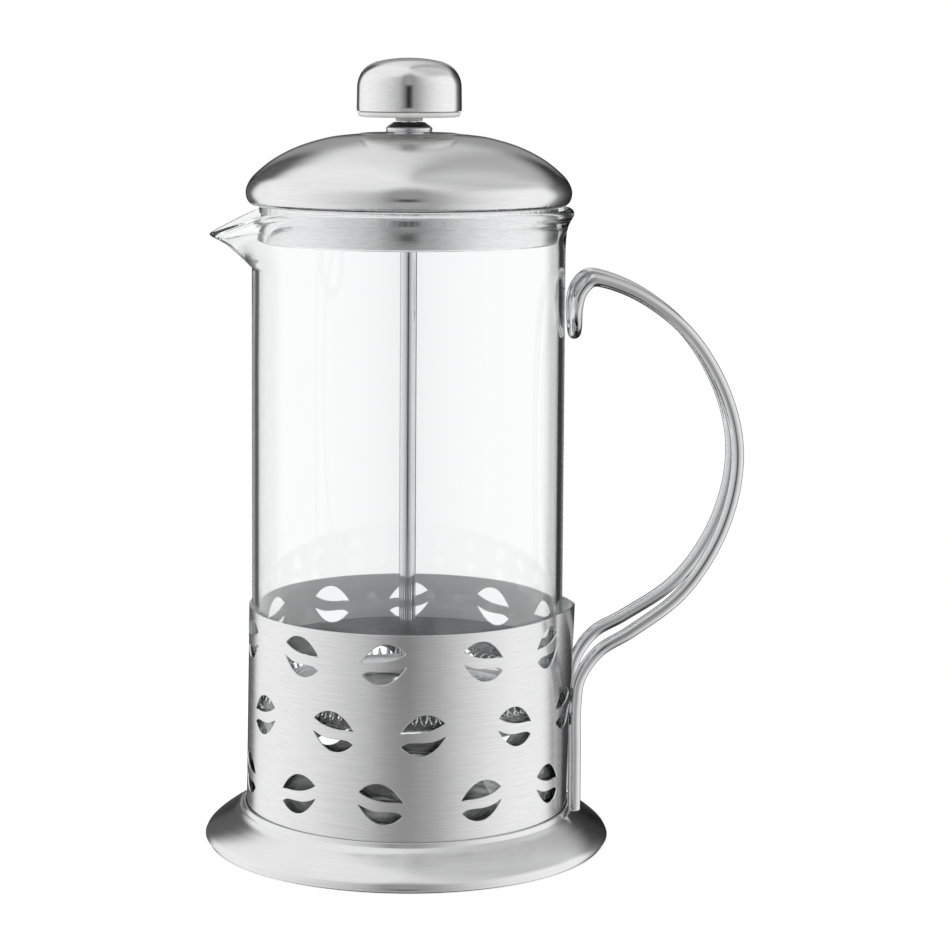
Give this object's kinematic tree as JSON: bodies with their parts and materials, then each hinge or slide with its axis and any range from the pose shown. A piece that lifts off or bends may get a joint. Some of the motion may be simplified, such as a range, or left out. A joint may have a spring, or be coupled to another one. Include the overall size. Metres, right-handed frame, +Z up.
{
  "type": "french press",
  "caption": "Press-pot coffee maker: glass beaker in a perforated steel sleeve on a flared foot, bent wire handle, domed steel lid and sliding filter plunger.",
  "frame": {"origin": "on the axis of the glass, on the flat underside that the press stands on", "axes": "+Z up along the axis of the glass and the plunger, +X towards the handle, -X towards the spout"},
  "size_m": [0.1677, 0.126, 0.2462],
  "materials": {
    "brushed_steel": "brushed",
    "polished_steel": "polished",
    "chrome": "mirror",
    "glass": "clear",
    "white_plastic": "satin",
    "soft_seal": "matt"
  },
  "bodies": {
    "frame": {"base_dish": "brushed_steel", "bottom_plate": "brushed_steel", "seat_ring": "soft_seal", "sleeve": "brushed_steel", "handle_wire": "polished_steel"},
    "beaker": {"glass_beaker": "glass"},
    "lid": {"lid_dome": "brushed_steel", "lid_skirt": "brushed_steel", "lid_collar": "chrome", "rod_bush": "white_plastic", "collar_washer": "polished_steel", "collar_nut": "polished_steel"},
    "plunger": {"plunger_rod": "polished_steel", "rod_shoulder": "polished_steel", "spring_plate": "polished_steel", "filter_spring": "polished_steel", "mesh_screen": "polished_steel", "cross_plate": "polished_steel", "filter_hub": "polished_steel"},
    "knob": {"knob_shell": "brushed_steel", "knob_insert": "white_plastic", "knob_thread_insert": "polished_steel"}
  },
  "joints": [
    {"name": "beaker_lift", "type": "slide", "parent": "frame", "child": "beaker", "axis": [0, 0, 1], "range_m": [0, 0.2]},
    {"name": "lid_lift", "type": "slide", "parent": "beaker", "child": "lid", "axis": [0, 0, 1], "range_m": [0, 0.17]},
    {"name": "plunge", "type": "slide", "parent": "lid", "child": "plunger", "axis": [0, 0, 1], "range_m": [0, 0.135]},
    {"name": "knob_turn", "type": "hinge", "parent": "plunger", "child": "knob", "pos_m": [0, 0, 0.235], "axis": [0, 0, 1], "continuous": true}
  ]
}
